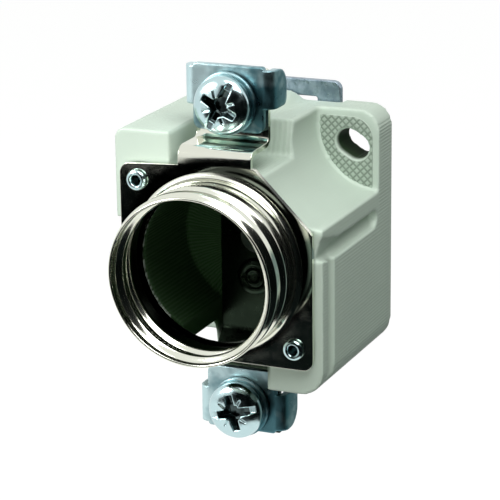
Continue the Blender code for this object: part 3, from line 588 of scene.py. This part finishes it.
class FUSE_OT_ceramic(bpy.types.Operator):
    """Finish the ceramic body, its drawn faces and its hatched pads"""

    bl_idname = "fuse.ceramic"
    bl_label = "Ceramic body"

    def execute(self, context):
        sizes = context.scene.fuse_ceramic
        body = merged_copy("ceramic_surface", "ceramic_body")
        seat_recess(body.data)
        remesh = body.modifiers.new("pressed_skin", "REMESH")
        remesh.mode = "VOXEL"
        remesh.voxel_size = sizes.skin
        worn = body.modifiers.new("pressed_edges", "SMOOTH")
        worn.factor = 0.5
        worn.iterations = 3
        context.view_layer.update()
        skin = bpy.data.meshes.new_from_object(body.evaluated_get(context.evaluated_depsgraph_get()))
        body.modifiers.clear()
        body.data = skin
        skin.name = "ceramic_surface"
        skin.shade_smooth()
        draw_lines(skin)
        put(body, "base", "pressed_porcelain", "ceramic", "ceramic_body")
        for side, sign in (("upper", 1), ("lower", -1)):
            pad = hatched_pad("hatch_" + side, sizes, sign)
            put(pad, "base", "pressed_porcelain", "ceramic", "ceramic_body")
        return {"FINISHED"}


def seat_recess(mesh):
    """Slides the round recess behind each flange rivet so that it stands just above the flange, and tilts the
    floor of each side slot. The floor moves out by 2.1 mm at the mouth of the slot's upper edge, less towards
    the rear, and by 0.7 mm at the mouth of its lower edge, growing to 1.6 mm at the rear."""
    points = np.empty(len(mesh.vertices) * 3, np.float32)
    mesh.vertices.foreach_get("co", points)
    points = points.reshape(-1, 3)
    y = points[:, 1] + REAR
    for sign in (1, -1):
        centre = sign * RECESS_CENTRE
        away = np.hypot(points[:, 0] - centre[0], points[:, 2] - centre[1])
        found = (np.abs(away - RECESS_RADIUS) < NEAR) & (y < RECESS_FLOOR)
        if not found.any():
            raise RuntimeError("the rivet's recess wasn't found")
        points[found] += sign * RECESS_SHIFT
        up = sign * points[:, 2]
        floor = np.abs(sign * points[:, 0] - SIDE_SLOT_FLOOR) < NEAR
        floor &= (up < SIDE_SLOT_TOP) & (up > SIDE_SLOT_BOTTOM) & (y < SIDE_SLOT_REAR)
        high = np.clip((up - 1.3 * MM) / (2.9 * MM), 0, 1)
        back = np.clip(y / (24.0 * MM), 0, 1)
        shallow = high * 2.1 * (1 - back) + (1 - high) * (0.7 + 0.9 * back)
        points[:, 0] += sign * shallow * MM * floor
    mesh.vertices.foreach_set("co", points.ravel())
    mesh.update()


def draw_lines(mesh):
    """Where the pressing steps run: counted up the side faces and across the top, faint elsewhere and beside
    the cut corners, none on faces that look forward or back, except on the ramps of the two terminal
    channels. In the cavity they are counted by angle. The painted shade is deep in the cavity, and it grows
    towards the cavity along the lower channel and with depth in the mounting slots."""
    count = len(mesh.vertices) * 3
    points, normals = np.empty(count, np.float32), np.empty(count, np.float32)
    mesh.vertices.foreach_get("co", points)
    mesh.vertices.foreach_get("normal", normals)
    points, normals = points.reshape(-1, 3).astype(float), np.abs(normals.reshape(-1, 3))
    x, y, z = points[:, 0], points[:, 1] + REAR, points[:, 2]
    counted = np.where(normals[:, 0] > 0.72, z, x)
    sides = wave(normals[:, 0], 0.9, 0.98) * (np.abs(x) > SIDE_FACE)
    flat = np.maximum(sides, wave(normals[:, 2], 0.93, 0.99))
    depth = np.maximum(flat, FAINT_LINES) * (1 - wave(normals[:, 1], 0.75, 0.95))
    plain = (np.abs(x) > CUT_SIDE) & (np.sign(x) * z > CUT_RISE) & (y < BACK_PLATE)
    depth = np.where(plain, PLAIN_SHARE * depth, depth)
    ramps = (np.abs(x) < RAMP_HALF_WIDTH) & (np.abs(z) > RAMP_START) & (y > RAMP_FRONT) & (y < RAMP_REAR)
    ramps &= normals[:, 1] > 0.5
    depth = np.where(ramps, 1.0, depth)
    counted = np.where(ramps, RAMP_SPREAD * x, counted)
    cavity = (np.hypot(x, z) < CAVITY_RADIUS) & (y < CHAMBER_FLOOR)
    # Painted shade in the cavity, the lower channel and the mounting slots
    shade = np.where(cavity, CAVITY_SHADE + CAVITY_GROWTH * wave(y, -1.0 * MM, 8.0 * MM), 0.0)
    depth = np.where(cavity, 1.0, depth)
    counted = np.where(cavity, CAVITY_LINES * np.arctan2(z, x), counted)
    channel = (np.abs(x) < CHANNEL_HALF_WIDTH) & (y < CHAMBER_FLOOR) & (z < -CHANNEL_START) & ~cavity
    shade = np.where(channel, CHANNEL_SHADE * (1 - wave(-z, 15.0 * MM, 20.0 * MM)), shade)
    in_slot = (np.sign(x * z) > 0) & (slot_distance(np.abs(x), np.abs(z)) < SLOT_HALF_WIDTH + SLOT_LIP)
    in_slot &= y > BACK_PLATE
    shade = np.where(in_slot, SLOT_SHADE * wave(y, 24.5 * MM, 26.0 * MM), shade)
    for name, values in (("line_place", counted), ("line_depth", depth), ("shade", shade)):
        mesh.attributes.new(name, "FLOAT", "POINT").data.foreach_set("value", values.astype(np.float32))


def slot_distance(x, z):
    """Distance from the middle line of the mounting slot, which leans 30 degrees down to the right."""
    right, up = x - SLOT_MIDDLE[0], z - SLOT_MIDDLE[1]
    along = right * np.cos(SLOT_LEAN) + up * np.sin(SLOT_LEAN)
    across = up * np.cos(SLOT_LEAN) - right * np.sin(SLOT_LEAN)
    return np.hypot(np.maximum(np.abs(along) - SLOT_HALF_STRAIGHT, 0), across)


def hatched_pad(name, sizes, sign, fine=0.075 * MM):
    """Flat pillows between two sets of diagonal grooves, as one height field: height rises with the distance
    from the nearest groove, and falls to nothing at the pad's margins, its arc and the slot. A skirt around
    the pad goes down into the ceramic."""
    across, up = np.arange(PAD_START, 17.2 * MM, fine), np.arange(PAD_START, 19.8 * MM, fine)
    x, z = np.meshgrid(across, up, indexing="ij")
    right, top = PAD_RIGHT - sizes.hatch_border, PAD_TOP - sizes.hatch_border
    margin = np.minimum(right - x, top - z)
    cx, cz = right - PAD_CORNER, top - PAD_CORNER
    rounded = PAD_CORNER - np.hypot(np.maximum(x - cx, 0), np.maximum(z - cz, 0))
    margin = np.where((x > cx) & (z > cz), rounded, margin)
    from_arc = PAD_ARC - 0.35 * MM - np.hypot(x - PAD_ARC_MIDDLE[0], z - PAD_ARC_MIDDLE[1])
    from_slot = slot_distance(x, z) - SLOT_HALF_WIDTH - 0.3 * MM
    margin = np.minimum(np.minimum(margin, from_arc), from_slot)
    groove = np.full_like(x, 1.0)
    for along in ((x + z) / np.sqrt(2), (x - z) / np.sqrt(2)):
        groove = np.minimum(groove, np.abs((along / sizes.hatch_pitch) % 1.0 - 0.5) * sizes.hatch_pitch)
    rise = wave(groove, 0.05 * MM, 0.26 * MM) * wave(margin, 0, 0.12 * MM)
    proud = 0.14 * MM * wave(margin, -PAD_SKIRT, 0.02 * MM) - 0.05 * MM
    points = place(sign * x, PAD_FACE - proud - sizes.hatch_height * rise, sign * z)
    keep = margin > -PAD_SKIRT
    whole = keep[:-1, :-1] & keep[1:, :-1] & keep[1:, 1:] & keep[:-1, 1:]
    quads = grid_quads(*x.shape)[whole.ravel()]
    used, quads = np.unique(quads, return_inverse=True)
    # Painted shade: the grooves darker than the pillows, and the pad darker than the ceramic around it
    shade = ((0.58 - 0.36 * rise) * wave(margin, -PAD_SKIRT, PAD_SKIRT)).ravel()[used]
    return mesh_object(name, points.reshape(-1, 3)[used], quads.reshape(-1, 4), shade, merge=0.0)


class FUSE_OT_shell(bpy.types.Operator):
    """Roll the threaded shell and finish its flange and terminal plate"""

    bl_idname = "fuse.shell"
    bl_label = "Threaded shell"

    def execute(self, context):
        sizes = context.scene.fuse_shell
        points, shade = shell_points(sizes)
        shell = grids_object("thread_surface", [(points, True, False)], shade.ravel())
        put(shell, "base", "rolled_nickel", "nickel", "threaded_shell")
        front = FLANGE_FRONT - REAR - 0.02 * MM
        sheet = merged_copy("flange_and_tab", "threaded_shell",
                            keep=lambda corners: (corners[:, :, 1] > front).all(axis=1))
        put(sheet, "base", "bright_nickel", "nickel", "threaded_shell")
        return {"FINISHED"}


def shell_points(sizes, around=432, along=220):
    """A right-hand rolled thread: the wall's middle radius is a wave of depth / pitch + turn / 2 pi, with the
    depth counted from the rim. It has broad crests, steep flanks and narrow roots, and fades towards the
    flange, where the wall bends out in a quarter circle: flare = 1 - sqrt(1 - s^2), with s from 0 to 1 over
    the bend. Each row runs up the outside, over the lip in a half circle and down the inside, which has
    painted shade near the flange."""
    turn = np.linspace(0, 2 * np.pi, around, endpoint=False)[:, None]
    half_wall, length = sizes.wall / 2, sizes.length
    over = np.linspace(0, np.pi, 9)
    down = np.linspace(length, half_wall, along)
    depth = np.concatenate([down, np.full(len(over) - 2, half_wall), down[::-1]])[None, :]
    lean = np.concatenate([np.zeros(along), over[1:-1], np.full(along, np.pi)])[None, :]
    from_crest = np.abs((depth / sizes.pitch + turn / (2 * np.pi) + THREAD_START) % 1.0 * 2 - 1)
    lip = 1 - wave(depth, 0, sizes.lip)
    faded = wave(depth, length * 0.42, length * 0.85)
    groove = wave(from_crest, 0.30, 0.92) * (1 - 0.6 * lip) * (1 - faded)
    flare = 1 - np.sqrt(1 - np.clip((depth - length) / sizes.root + 1, 0, 1) ** 2)
    middle = sizes.crest_radius - half_wall - sizes.thread_depth * groove + sizes.root * flare
    radius = middle + half_wall * np.cos(lean)
    y = FLANGE_FRONT - length + depth - half_wall * np.sin(lean) + 0 * turn
    inside = lean > 3
    # Painted shade on the inside near the flange
    shade = 0.92 * wave(depth, 5.0 * MM, 6.2 * MM) * inside + 0 * turn
    return place(radius * np.cos(turn), y, radius * np.sin(turn)), shade


class FUSE_OT_strip(bpy.types.Operator):
    """Finish the contact strip and turn its ringed rivet"""

    bl_idname = "fuse.strip"
    bl_label = "Contact strip"

    def execute(self, context):
        # The strip and its rivet take the near-black contact metal: painted shade
        strip = merged_copy("contact_strip_surface", "contact_strip")
        put(strip, "base", "dull_contact", "nickel", "contact_strip")
        profile = rounded_profile(np.array(RINGED_RIVET) * MM, 0.15 * MM)
        rivet = grids_object("contact_rivet_surface", [turned_grid(profile, (0, -6.6 * MM), 64)])
        put(rivet, "base", "dull_contact", "nickel", "contact_rivet")
        return {"FINISHED"}


class FUSE_OT_rivets(bpy.types.Operator):
    """Turn the hollow rivets and finish the washers and the rear rivets"""

    bl_idname = "fuse.rivets"
    bl_label = "Rivets"

    def execute(self, context):
        profile = rounded_profile(np.array(HOLLOW_RIVET) * MM, 0.2 * MM)
        for side, sign in (("upper", 1), ("lower", -1)):
            name = "flange_rivet_" + side
            turned = turned_grid(profile, (-sign * 13.3 * MM, sign * 12.5 * MM), 48)
            rivet = grids_object(name + "_surface", [turned])
            put(rivet, "base", "zinc_plate", "zinc", name)
        for name in ("rivet_washer_upper", "rivet_washer_lower", "contact_rivet_washer", "guide_rivet_left",
                     "guide_rivet_right", "plate_rivet_left", "plate_rivet_right"):
            put(merged_copy(name + "_surface", name), "base", "zinc_plate", "zinc", name)
        return {"FINISHED"}


class FUSE_OT_terminals(bpy.types.Operator):
    """Finish the clamps and washers, and make the screws with their drives and threads"""

    bl_idname = "fuse.terminals"
    bl_label = "Terminals"

    def execute(self, context):
        sizes = context.scene.fuse_screws
        for side, seat, height, angle in SCREWS:
            for name in (side + "_clamp", side + "_washer"):
                put(merged_copy(name + "_surface", name), side + "_clamp_body", "zinc_sheet", "zinc", name)
            grids, shade = screw_grids(sizes, seat, height, angle)
            screw = grids_object(side + "_screw_surface", grids, shade)
            put(screw, side + "_screw_body", "zinc_plate", "zinc", side + "_screw")
        return {"FINISHED"}


def screw_grids(sizes, seat, height, angle, across=141):
    """A pan head over a square grid laid on a disc by u = a sqrt(1 - b^2 / 2), v = b sqrt(1 - a^2 / 2): a
    dome h = side + rise sqrt(1 - r^3), less a slot with a flat floor, a cross that deepens to its middle and
    four tick marks between its arms. The edge's points go on down the side and along the threaded shank."""
    radius, top = sizes.head_radius, sizes.head_height
    a, b = np.meshgrid(np.linspace(-1, 1, across), np.linspace(-1, 1, across), indexing="ij")
    u, v = radius * a * np.sqrt(1 - b ** 2 / 2), radius * b * np.sqrt(1 - a ** 2 / 2)
    r = np.hypot(u, v)
    side = 0.42 * top
    dome = side + (top - side) * np.sqrt(np.clip(1 - (r / radius) ** 3, 0, 1))
    soft = 0.10 * MM
    in_slot = 1 - wave(np.abs(v), sizes.slot_width / 2 - soft, sizes.slot_width / 2 + soft / 2)
    floor = np.minimum(dome, top - sizes.slot_depth)
    level = dome + (floor - dome) * in_slot
    for along, off in ((u, v), (v, u)):
        share = np.abs(along) / sizes.cross_reach
        half_arm = (0.72 - 0.14 * share) * MM
        arm = (1 - wave(np.abs(off), half_arm - soft, half_arm + soft)) * (1 - wave(share, 0.93, 1.03))
        depth = sizes.cross_depth * (0.45 + 0.55 * np.sqrt(np.clip(1 - share, 0, 1)))
        level = np.minimum(level, dome - depth * arm)
    core = 1 - wave(r, 1.25 * MM, 1.55 * MM)
    level = np.minimum(level, dome - sizes.cross_depth * core)
    diagonal, off = np.abs(u) + np.abs(v), np.abs(np.abs(u) - np.abs(v)) / np.sqrt(2)
    on_tick = 1 - wave(off, 0.08 * MM, 0.2 * MM)
    tick = on_tick * wave(diagonal, 1.9 * MM, 2.1 * MM) * (1 - wave(diagonal, 3.6 * MM, 4.0 * MM))
    level = level - TICK_DEPTH * tick
    # Painted shade in the slot, the cross and the ticks, deeper where they are deeper
    shade = 0.90 * wave(dome - level, 0.12 * MM, 1.2 * MM)
    turn = np.radians(angle)

    def world(p, q, depth):
        return place(p * np.cos(turn) - q * np.sin(turn), depth, height + p * np.sin(turn) + q * np.cos(turn))

    cap = world(u, v, seat - level)
    edge = np.concatenate([np.arange(across - 1) * across, (across - 1) * across + np.arange(across - 1),
                           np.arange(across - 1, 0, -1) * across + across - 1, np.arange(across - 1, 0, -1)])
    way = np.arctan2(v.ravel()[edge], u.ravel()[edge])[:, None]
    shank, length, pitch = sizes.shank_radius, sizes.shank_length, sizes.pitch
    run = np.arange(0.15, length / MM, 0.1) * MM
    ridge = 0.3 * pitch * np.abs(((run[None, :] / pitch + way / (2 * np.pi)) % 1.0) * 2 - 1)
    tip = wave(run, length - 0.9 * MM, length)[None, :] * 0.75 * MM
    rows = np.hstack([np.full_like(way, radius), np.full_like(way, radius), np.full_like(way, radius * 0.97),
                      np.full_like(way, shank), shank - ridge - tip, np.zeros_like(way)])
    depth = np.concatenate([[-side, -0.15 * MM, 0, 0], run, [length]])[None, :] + seat + 0 * way
    column = world(rows * np.cos(way), rows * np.sin(way), depth)
    return [(cap, False, False), (column, True, False)], np.concatenate([shade.ravel(), np.zeros(rows.size)])


class FUSE_OT_rail(bpy.types.Operator):
    """Finish the rail plate and the latch, and wind the spring"""

    bl_idname = "fuse.rail"
    bl_label = "Rail latch"

    def execute(self, context):
        for name, body in (("rail_plate", "base"), ("rail_latch", "latch_body")):
            put(merged_copy(name + "_surface", name), body, "galvanised_sheet", "galvanised", name)
        spring = grids_object("latch_spring_surface", [(spring_points(), False, True)])
        put(spring, "base", "zinc_plate", "zinc", "latch_spring")
        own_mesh(spring)
        return {"FINISHED"}


def spring_points(turns=5, per_turn=40, around=12):
    """A round wire carried along a helix about a line along Z: centre = R (cos t, sin t), rising evenly, with
    closed ends."""
    radius, wire, low, length, centre = 1.8 * MM, 0.3 * MM, -0.7 * MM, 12.7 * MM, 28.6 * MM
    turn = np.linspace(0, 2 * np.pi * turns, turns * per_turn + 1)
    rise = low + wire + (length - 2 * wire) * turn / turn[-1]
    turn, rise = (np.concatenate([values[:1], values, values[-1:]]) for values in (turn, rise))
    thick = np.full(len(turn), wire)
    thick[[0, -1]] = 0.0
    way = np.linspace(0, 2 * np.pi, around, endpoint=False)[None, :]
    reach = radius + thick[:, None] * np.cos(way)
    height = rise[:, None] + thick[:, None] * np.sin(way)
    return place(reach * np.cos(turn)[:, None], centre + reach * np.sin(turn)[:, None], height)


class FUSE_OT_stage(bpy.types.Operator):
    """Set the floor, the light and the camera"""

    bl_idname = "fuse.stage"
    bl_label = "Stage"

    def execute(self, context):
        add_world()
        add_floor()
        add_dark_screen()
        for lamp in LAMPS:
            add_lamp(*lamp)
        add_camera(context)
        context.scene.view_settings.view_transform = "Standard"
        return {"FINISHED"}


def add_camera(context):
    """The camera at the photograph's angle: its rows are right, up and back."""
    lens = bpy.data.cameras.new("photo_camera")
    camera = bpy.data.objects.new("photo_camera", lens)
    context.scene.collection.objects.link(camera)
    lens.sensor_width = SENSOR_WIDTH
    lens.lens = SENSOR_WIDTH * FOCAL_PIXELS / PICTURE_PIXELS
    lens.clip_start, lens.clip_end = 0.01, 20.0
    azimuth, elevation, roll = np.radians(CAMERA_ANGLES)
    level = np.cos(elevation)
    back = np.array([np.sin(azimuth) * level, -np.cos(azimuth) * level, np.sin(elevation)])
    right = np.array([np.cos(azimuth), np.sin(azimuth), 0.0])
    up = np.cross(back, right)
    turned_right = np.cos(roll) * right + np.sin(roll) * up
    turned_up = -np.sin(roll) * right + np.cos(roll) * up
    spot = (np.array(CAMERA_TARGET) + back * CAMERA_DISTANCE) * MM - np.array([0, REAR, 0])
    matrix = np.identity(4)
    matrix[:3] = np.stack([turned_right, turned_up, back, spot], axis=1)
    camera.matrix_world = Matrix(matrix.tolist())
    context.scene.camera = camera


def seen_directly(tree):
    """1 for camera, glossy and transmitted rays, 0 for the rays that carry diffuse light."""
    path = node(tree, "ShaderNodeLightPath").outputs
    first = arithmetic(tree, "MAXIMUM", path["Is Camera Ray"], path["Is Glossy Ray"])
    return arithmetic(tree, "MAXIMUM", first, path["Is Transmission Ray"])


def add_world():
    """White for camera, glossy and transmitted rays, and a faint even light for the rest."""
    world = bpy.data.worlds.new("studio")
    world.use_nodes = True
    bpy.context.scene.world = world
    tree = world.node_tree
    tree.nodes.clear()
    soft = node(tree, "ShaderNodeBackground", Strength=SOFT_STRENGTH)
    soft.inputs["Color"].default_value = SOFT_COLOUR
    white = node(tree, "ShaderNodeBackground", Strength=1.0)
    white.inputs["Color"].default_value = WHITE
    mixed = node(tree, "ShaderNodeMixShader", [("Fac", seen_directly(tree))])
    tree.links.new(soft.outputs[0], mixed.inputs[1])
    tree.links.new(white.outputs[0], mixed.inputs[2])
    out = node(tree, "ShaderNodeOutputWorld")
    tree.links.new(mixed.outputs[0], out.inputs["Surface"])


def add_lamp(name, spot, width, power, mirrored):
    """A square lamp aimed at the part. Metal shows no glint of it unless it is mirrored."""
    light = bpy.data.lights.new(name, "AREA")
    light.shape = "SQUARE"
    light.size = width
    light.energy = power
    lamp = bpy.data.objects.new(name, light)
    lamp.location = spot
    lamp.visible_glossy = mirrored
    lamp.rotation_mode = "QUATERNION"
    lamp.rotation_quaternion = (Vector(LAMP_TARGET) - lamp.location).to_track_quat("-Z", "Y")
    bpy.context.scene.collection.objects.link(lamp)


def add_floor():
    """A pale floor that keeps the part's shadow; what the shadow leaves is added up to white."""
    x, y = np.meshgrid([-FLOOR_REACH, FLOOR_REACH], [-FLOOR_REACH, FLOOR_REACH], indexing="ij")
    level = np.full_like(x, CAD_BOX[0].z - FLOOR_GAP)
    floor = grids_object("floor", [(np.stack([x, y, level], axis=-1), False, False)])
    made, tree, shader = start_material("pale_floor", (0.12, 0.125, 0.12), 0.0, 0.9)
    shader.inputs["Specular IOR Level"].default_value = 0.0
    shader.inputs["Emission Color"].default_value = WHITE
    glow = arithmetic(tree, "MULTIPLY", seen_directly(tree), FLOOR_GLOW)
    tree.links.new(glow, shader.inputs["Emission Strength"])
    floor.data.materials.append(made)


def around_screen(way, reach, height):
    """Points at an angle and a distance around the screen's middle, which stands in front of the part."""
    parts = np.broadcast_arrays(reach * np.sin(way), SCREEN_MIDDLE - reach * np.cos(way), height)
    return np.stack(parts, axis=-1)


def add_dark_screen():
    """A dark curved screen around the front right, as a studio has, and a flat sheet at its foot: only
    reflections in metal see them. Both turn paler towards the rear."""
    turn = np.radians(np.linspace(-50, 165, 90))[:, None]
    share = np.linspace(0, 1, 12)[None, :]
    # The top steps up past the front left and comes down towards the rear; the foot steps down past the front
    top = -0.02 + 0.15 * wave(np.degrees(turn), -28, -20) - 0.11 * wave(np.degrees(turn), 80, 120)
    bottom = -0.053 - 0.0075 * wave(np.degrees(turn), -21, -19)
    wall = around_screen(turn, SCREEN_RADIUS, bottom + (top - bottom) * share)
    low = np.radians(np.linspace(-24, 165, 60))[:, None]
    reach = np.linspace(0.045, SCREEN_RADIUS, 4)[None, :]
    sheet = around_screen(low, reach, SHEET_HEIGHT)
    paler = [(wave(np.degrees(way), 95, 125) + 0 * columns).ravel()
             for way, columns in ((turn, share), (low, reach))]
    screen = grids_object("dark_screen", [(wall, False, False), (sheet, False, False)], np.concatenate(paler))
    made, tree, shader = start_material("black_cloth", (0.004, 0.006, 0.006), 0.0, 1.0)
    shader.inputs["Specular IOR Level"].default_value = 0.0
    shader.inputs["Emission Color"].default_value = (0.19, 0.26, 0.25, 1)
    tree.links.new(attribute(tree, "shade"), shader.inputs["Emission Strength"])
    screen.data.materials.append(made)
    for kind in ("camera", "diffuse", "transmission", "shadow", "volume_scatter"):
        setattr(screen, "visible_" + kind, False)


class FUSE_PT_panel(bpy.types.Panel):
    """The fuse base's sizes, colours and steps"""

    bl_idname = "FUSE_PT_panel"
    bl_label = "Fuse base"
    bl_space_type = "VIEW_3D"
    bl_region_type = "UI"
    bl_category = "Fuse base"

    def draw(self, context):
        for group in GROUPS:
            values = getattr(context.scene, group)
            for key in values.bl_rna.properties.keys():
                if key not in ("rna_type", "name"):
                    self.layout.prop(values, key)
        for step in STEPS:
            self.layout.operator(step.bl_idname)


GROUPS = {"fuse_shell": FuseShellSizes, "fuse_screws": FuseScrewSizes, "fuse_ceramic": FuseCeramicSizes,
          "fuse_finishes": FuseFinishes}
STEPS = (FUSE_OT_ceramic, FUSE_OT_shell, FUSE_OT_strip, FUSE_OT_rivets, FUSE_OT_terminals, FUSE_OT_rail,
         FUSE_OT_stage)


def register():
    for made in (*GROUPS.values(), *STEPS, FUSE_PT_panel):
        bpy.utils.register_class(made)
    for name, group in GROUPS.items():
        setattr(bpy.types.Scene, name, bpy.props.PointerProperty(type=group))


def unregister():
    for name in GROUPS:
        delattr(bpy.types.Scene, name)
    for made in reversed((*GROUPS.values(), *STEPS, FUSE_PT_panel)):
        bpy.utils.unregister_class(made)


def main():
    """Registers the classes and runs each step."""
    for old in [o for o in bpy.data.objects if o.name in ("Cube", "Light", "Camera")]:
        bpy.data.objects.remove(old, do_unlink=True)
    register()
    for step in STEPS:
        family, name = step.bl_idname.split(".")
        getattr(getattr(bpy.ops, family), name)()
    bpy.context.view_layer.update()


if __name__ == "__main__":
    main()
